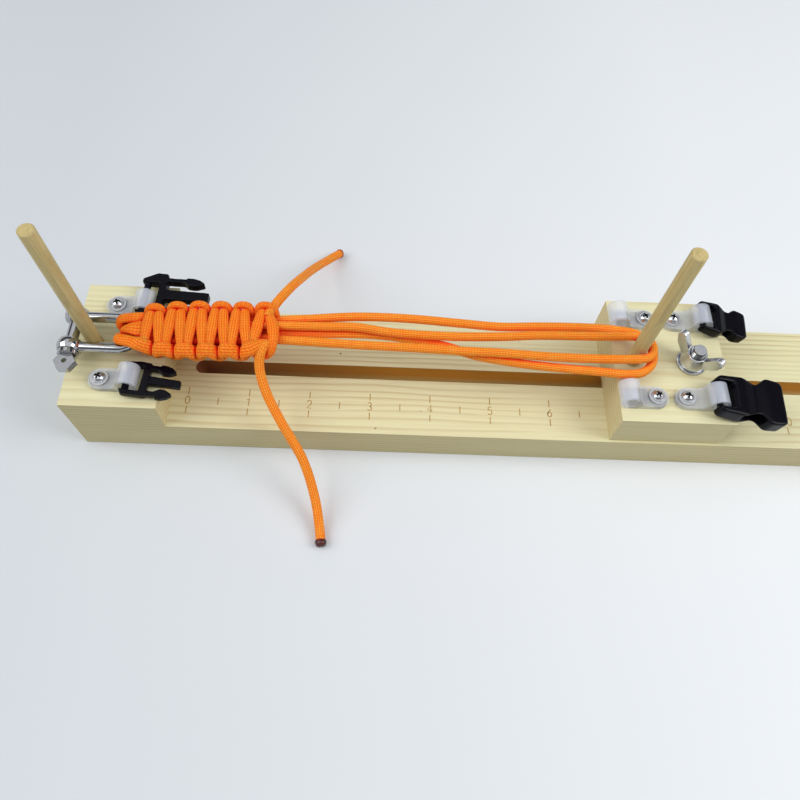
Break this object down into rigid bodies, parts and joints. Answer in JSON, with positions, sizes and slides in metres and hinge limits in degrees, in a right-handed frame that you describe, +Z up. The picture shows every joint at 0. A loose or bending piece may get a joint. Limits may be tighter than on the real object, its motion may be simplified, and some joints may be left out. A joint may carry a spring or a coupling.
{
  "type": "paracord bracelet jig",
  "caption": "Slotted pine rail with a fixed end block and a clamped sliding block, upright pegs, buckle clips and a half-made orange cord bracelet stretched between the pegs.",
  "frame": {"origin": "on the underside of the rail, under the axis of the fixed peg", "axes": "+X along the rail from the fixed peg to the slider, +Y to the back, +Z up"},
  "size_m": [0.392, 0.151, 0.104],
  "materials": {
    "pine": "sanded, bare",
    "bamboo": "bare dowel",
    "nylon": "milky, satin",
    "zinc": "bright zinc plate",
    "stainless": "polished",
    "black_plastic": "satin",
    "orange_cord": "braided nylon cord"
  },
  "bodies": {
    "base": {"base_rail": "pine", "fixed_peg": "bamboo", "fixed_back_clip": "nylon", "fixed_front_clip": "nylon", "fixed_clip_screws": "zinc", "fixed_screw_washers": "zinc", "shackle_bow": "stainless", "bracelet_weave": "orange_cord", "inner_core_strands": "orange_cord", "outer_core_strands": "orange_cord", "front_tail": "orange_cord", "back_tail": "orange_cord"},
    "slider": {"slider_block": "pine", "slider_peg": "bamboo", "slider_back_left_clip": "nylon", "slider_back_right_clip": "nylon", "slider_front_left_clip": "nylon", "slider_front_right_clip": "nylon", "slider_clip_screws": "zinc", "slider_screw_washers": "zinc", "carriage_bolt": "zinc", "bolt_washer": "zinc"},
    "wing_nut": {"wing_nut": "zinc"},
    "back_male": {"back_male_buckle": "black_plastic"},
    "front_male": {"front_male_buckle": "black_plastic"},
    "front_female": {"front_female_buckle": "black_plastic"},
    "back_female": {"back_female_buckle": "black_plastic"},
    "shackle_pin": {"shackle_pin": "stainless"}
  },
  "joints": [
    {"name": "slider_slide", "type": "slide", "parent": "base", "child": "slider", "axis": [1, 0, 0], "range_m": [-0.1, 0.1], "deforming": ["inner_core_strands", "outer_core_strands"]},
    {"name": "wing_nut_turn", "type": "hinge", "parent": "slider", "child": "wing_nut", "pos_m": [0.2445, 0, 0.04], "axis": [0, 0, 1], "continuous": true},
    {"name": "back_male_pivot", "type": "hinge", "parent": "base", "child": "back_male", "pos_m": [0.0173, 0.0211, 0.0391], "axis": [0.0436, 0.999, 0], "range_deg": [-95, 10]},
    {"name": "front_male_pivot", "type": "hinge", "parent": "base", "child": "front_male", "pos_m": [0.0173, -0.0179, 0.0377], "axis": [0.0523, 0.9986, 0], "range_deg": [-100, 0]},
    {"name": "front_female_pivot", "type": "hinge", "parent": "slider", "child": "front_female", "pos_m": [0.2505, -0.0181, 0.0414], "axis": [0.0698, 0.9976, 0], "range_deg": [-60, 0]},
    {"name": "back_female_pivot", "type": "hinge", "parent": "slider", "child": "back_female", "pos_m": [0.2505, 0.0197, 0.0414], "axis": [0.1045, 0.9945, 0], "range_deg": [-95, 0]},
    {"name": "shackle_pin_turn", "type": "hinge", "parent": "base", "child": "shackle_pin", "pos_m": [-0.0062, 0, 0.042], "axis": [0, 1, 0], "continuous": true}
  ]
}
